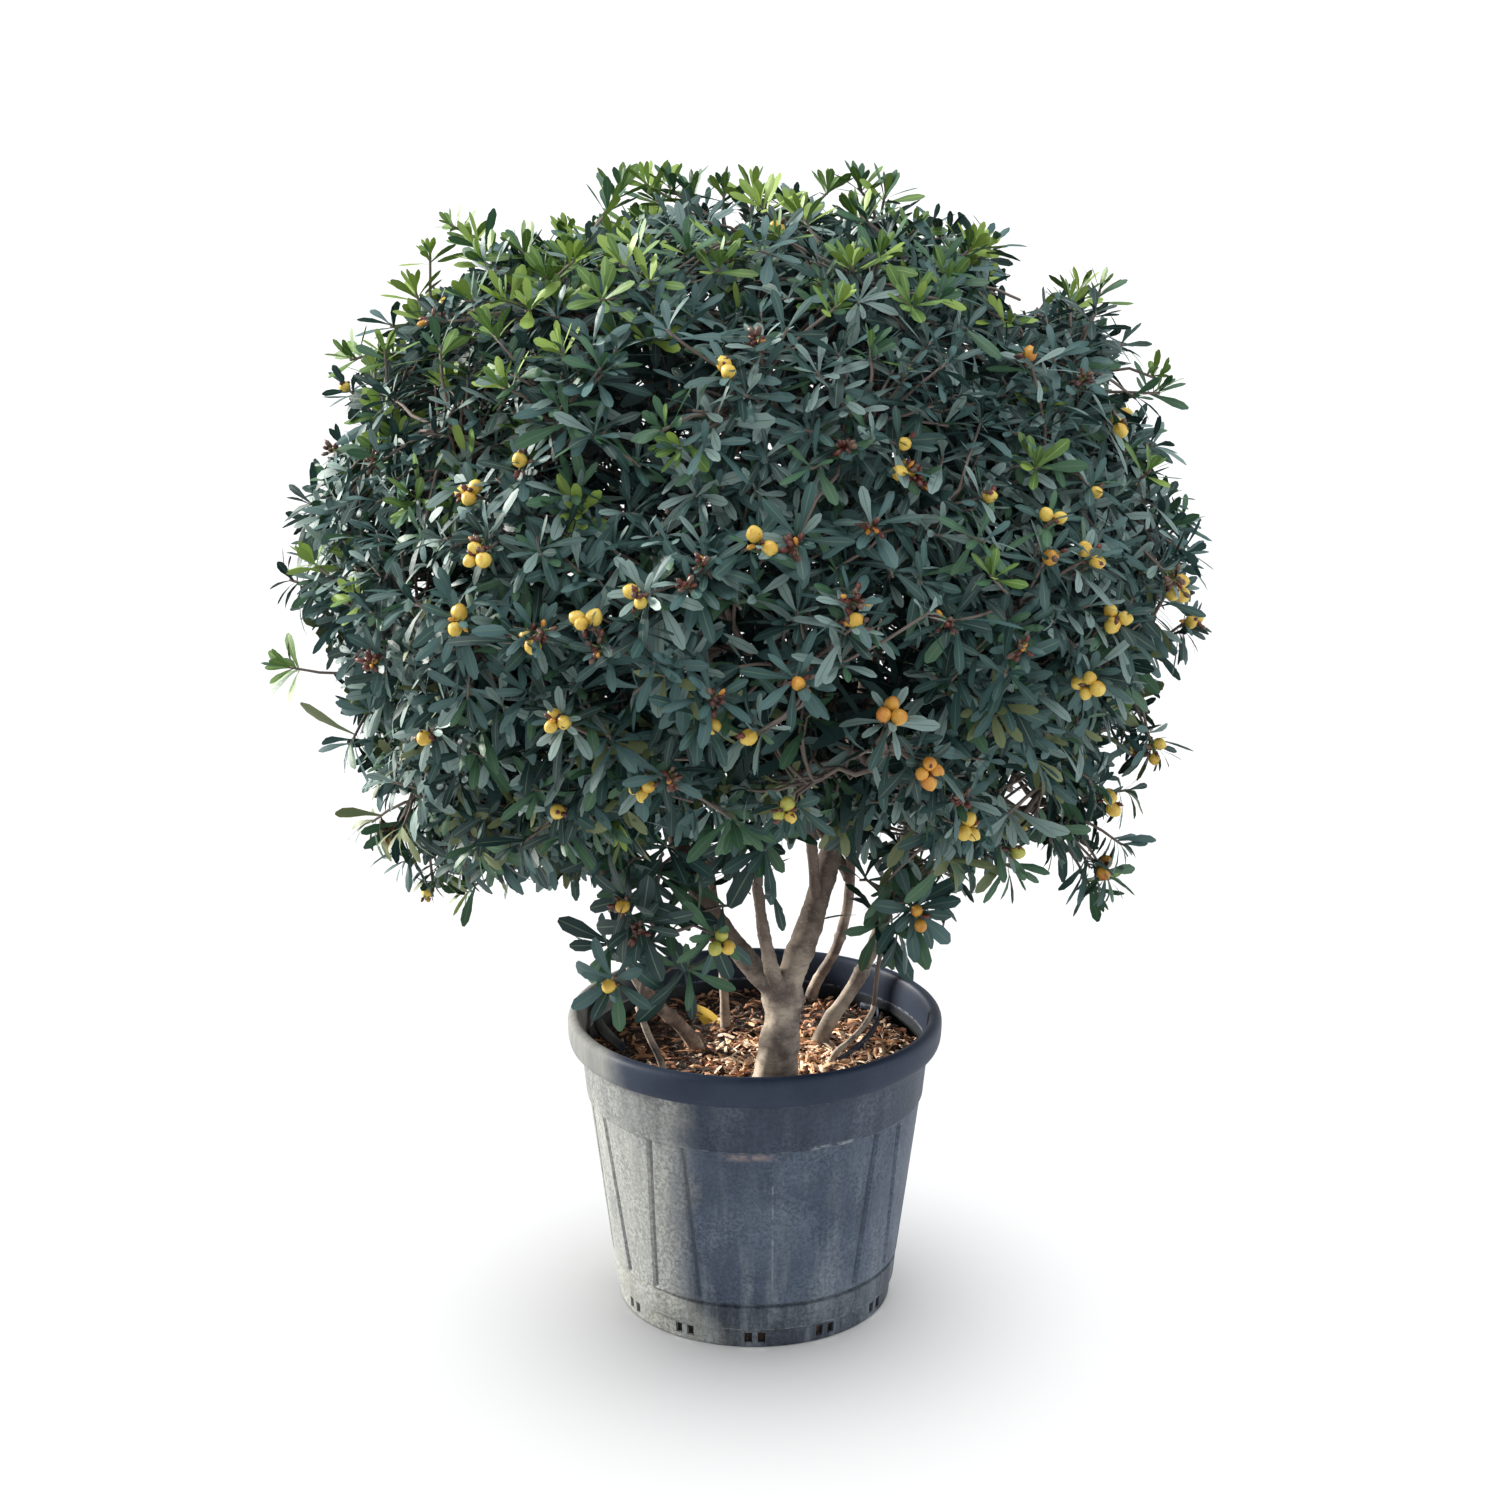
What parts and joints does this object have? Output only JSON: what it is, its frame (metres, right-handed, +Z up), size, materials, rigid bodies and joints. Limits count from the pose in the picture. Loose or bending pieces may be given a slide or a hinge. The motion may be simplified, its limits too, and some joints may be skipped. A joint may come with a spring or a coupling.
{
  "type": "potted evergreen shrub",
  "caption": "Broad bushy evergreen shrub with whorled leathery leaves and round yellow capsules, several stems rising from a tapered plastic nursery pot that stands on its flat underside.",
  "frame": {"origin": "centre of the pot's flat underside", "axes": "+Z up, the pot's axis; -Y is the front of the plant as pictured, +X is its right"},
  "size_m": [0.9763, 0.9547, 1.2019],
  "materials": {
    "pot_plastic": "weathered matt dark grey plastic with chalky deposits",
    "potting_mix": "coarse dark mix with pale wood chips",
    "bark": "smooth grey-brown bark",
    "foliage": "leathery leaves with a soft sheen"
  },
  "bodies": {
    "root": {"pot": "pot_plastic", "potting_mix": "potting_mix", "trunk": "bark", "right_limb": "bark", "left_limb": "bark", "centre_shoot": "bark", "left_stem": "bark", "left_sucker": "bark", "middle_stem": "bark", "back_stem": "bark", "right_stem": "bark", "right_sucker": "bark", "left_leader": "bark", "right_leader": "bark", "low_bough_0": "bark", "low_bough_1": "bark", "low_bough_2": "bark", "low_bough_3": "bark", "low_bough_4": "bark", "low_bough_5": "bark", "low_bough_6": "bark", "low_bough_7": "bark", "shoulder_bough_right": "bark", "shoulder_bough_back": "bark", "shoulder_bough_left": "bark", "shoulder_bough_front": "bark", "skirt_0": "foliage", "skirt_1": "foliage", "skirt_2": "foliage", "skirt_3": "foliage", "skirt_4": "foliage", "skirt_5": "foliage", "skirt_6": "foliage", "skirt_7": "foliage", "waist_0": "foliage", "waist_1": "foliage", "waist_2": "foliage", "waist_3": "foliage", "waist_4": "foliage", "waist_5": "foliage", "waist_6": "foliage", "waist_7": "foliage", "shoulder_0": "foliage", "shoulder_1": "foliage", "shoulder_2": "foliage", "shoulder_3": "foliage", "shoulder_4": "foliage", "shoulder_5": "foliage", "shoulder_6": "foliage", "top_0": "foliage", "top_1": "foliage", "top_2": "foliage", "top_3": "foliage", "crest": "foliage", "low_left": "foliage", "low_right": "foliage", "low_centre": "foliage"}
  },
  "joints": []
}
